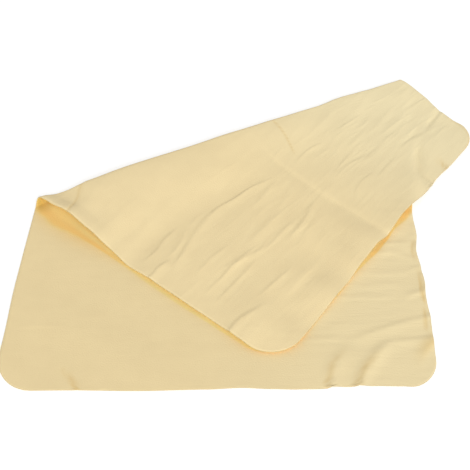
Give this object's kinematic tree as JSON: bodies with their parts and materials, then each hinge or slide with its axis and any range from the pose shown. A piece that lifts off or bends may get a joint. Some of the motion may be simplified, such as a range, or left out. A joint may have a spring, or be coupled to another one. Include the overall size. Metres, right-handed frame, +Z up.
{
  "type": "drying cloth",
  "caption": "Soft synthetic chamois drying cloth: a rectangular sheet with rounded corners, turned over along a slanting fold that can be opened out.",
  "frame": {"origin": "on the surface that the cloth lies on, under the middle of the folded cloth's box", "axes": "+Z up from the surface, +X to the right along the front edge, +Y to the back, towards the fold"},
  "size_m": [0.378, 0.3308, 0.0122],
  "materials": {
    "chamois": "matte, soft nonwoven"
  },
  "bodies": {
    "lower": {"lower_layer": "chamois", "lower_fold_edge": "chamois"},
    "flap": {"upper_fold_edge": "chamois", "turned_over_flap": "chamois"}
  },
  "joints": [
    {"name": "fold", "type": "hinge", "parent": "lower", "child": "flap", "pos_m": [-0.02833, 0.08659, 0.00435], "axis": [-0.8964, -0.4432, 0.0098], "range_deg": [0, 179.5]}
  ]
}
